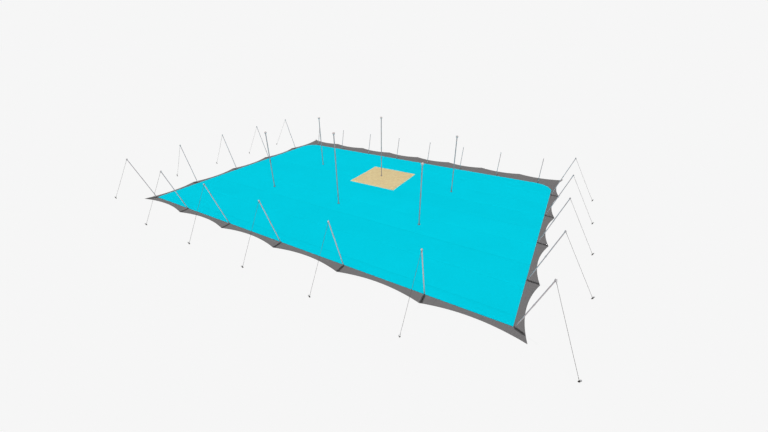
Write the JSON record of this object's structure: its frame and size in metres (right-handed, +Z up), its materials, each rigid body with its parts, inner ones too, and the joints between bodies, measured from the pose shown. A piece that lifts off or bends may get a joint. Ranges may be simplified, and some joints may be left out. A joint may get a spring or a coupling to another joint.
{
  "type": "stretch tent",
  "caption": "Stretch tent set out with its canopy off: ground sheet with hollow edges, carpeted floor, dance floor, upright king poles, leaning edge poles on guys, low back poles.",
  "frame": {"origin": "centre of the carpeted floor, at ground level, on the underside of the ground sheet", "axes": "+X along the front edge to the right, +Y from the front towards the back, +Z up"},
  "size_m": [30.807, 21.1784, 5.005],
  "materials": {
    "ground_sheet": "dark grey coated woven sheet, matt",
    "carpet": "turquoise needle-felt event carpet, matt",
    "parquet": "pale oak dance floor panels, satin varnish",
    "king_pole": "light grey powder-coated steel tube",
    "edge_pole": "light grey powder-coated steel tube",
    "low_pole": "plain aluminium tube",
    "guy_line": "grey twisted polyester rope",
    "stake": "dark forged steel"
  },
  "bodies": {
    "root": {"ground_sheet": "ground_sheet", "floor": "carpet", "dance_floor": "parquet", "king_pole_front_left": "king_pole", "king_pole_front_middle": "king_pole", "king_pole_front_right": "king_pole", "king_pole_rear_left": "king_pole", "king_pole_rear_middle": "king_pole", "king_pole_rear_right": "king_pole", "edge_pole_front_left_corner": "edge_pole", "edge_pole_front_1": "edge_pole", "edge_pole_front_2": "edge_pole", "edge_pole_front_3": "edge_pole", "edge_pole_front_4": "edge_pole", "edge_pole_front_5": "edge_pole", "edge_pole_front_right_corner": "edge_pole", "edge_pole_right_1": "edge_pole", "edge_pole_right_2": "edge_pole", "edge_pole_right_3": "edge_pole", "edge_pole_right_4": "edge_pole", "edge_pole_left_1": "edge_pole", "edge_pole_left_2": "edge_pole", "edge_pole_left_3": "edge_pole", "edge_pole_left_4": "edge_pole", "low_pole_back_1": "low_pole", "low_pole_back_2": "low_pole", "low_pole_back_3": "low_pole", "low_pole_back_4": "low_pole", "low_pole_back_5": "low_pole", "low_pole_back_6": "low_pole", "low_pole_back_7": "low_pole", "low_pole_back_8": "low_pole", "guy_front_left_corner": "guy_line", "guy_front_1": "guy_line", "guy_front_2": "guy_line", "guy_front_3": "guy_line", "guy_front_4": "guy_line", "guy_front_5": "guy_line", "guy_front_right_corner": "guy_line", "guy_right_1": "guy_line", "guy_right_2": "guy_line", "guy_right_3": "guy_line", "guy_right_4": "guy_line", "guy_left_1": "guy_line", "guy_left_2": "guy_line", "guy_left_3": "guy_line", "guy_left_4": "guy_line", "corner_peg_left": "stake", "corner_peg_right": "stake"}
  },
  "joints": []
}
